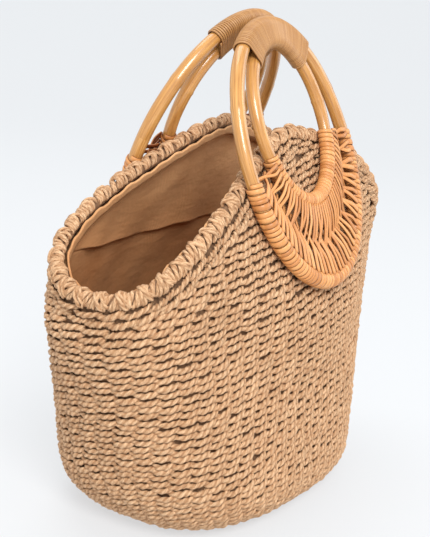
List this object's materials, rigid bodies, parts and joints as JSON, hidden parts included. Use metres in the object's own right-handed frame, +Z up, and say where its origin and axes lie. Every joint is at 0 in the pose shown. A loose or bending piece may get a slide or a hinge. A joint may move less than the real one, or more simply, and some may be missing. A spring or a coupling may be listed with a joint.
{
  "type": "straw basket bag",
  "caption": "Open twined straw basket bag with a wavy rope border, a cotton lining and leaning rattan ring handles.",
  "frame": {"origin": "on the floor, under the middle of the bag", "axes": "+X along the bag's length towards its far end, -Y towards its front panel, +Z up"},
  "size_m": [0.3542, 0.1582, 0.3241],
  "materials": {
    "straw": "matte twisted paper straw, light tan",
    "straw_border": "matte twisted paper straw, light tan",
    "lining_cloth": "plain brown cotton",
    "rattan_cane": "polished rattan cane, honey coloured",
    "cane_strip": "satin split cane strip, orange tan"
  },
  "bodies": {
    "root": {"basket_body": "straw", "mouth_border": "straw_border", "cotton_lining": "lining_cloth", "front_outer_ring": "rattan_cane", "front_inner_ring": "rattan_cane", "front_top_binding": "cane_strip", "front_crescent_web": "cane_strip", "back_outer_ring": "rattan_cane", "back_inner_ring": "rattan_cane", "back_top_binding": "cane_strip", "back_crescent_web": "cane_strip"}
  },
  "joints": []
}
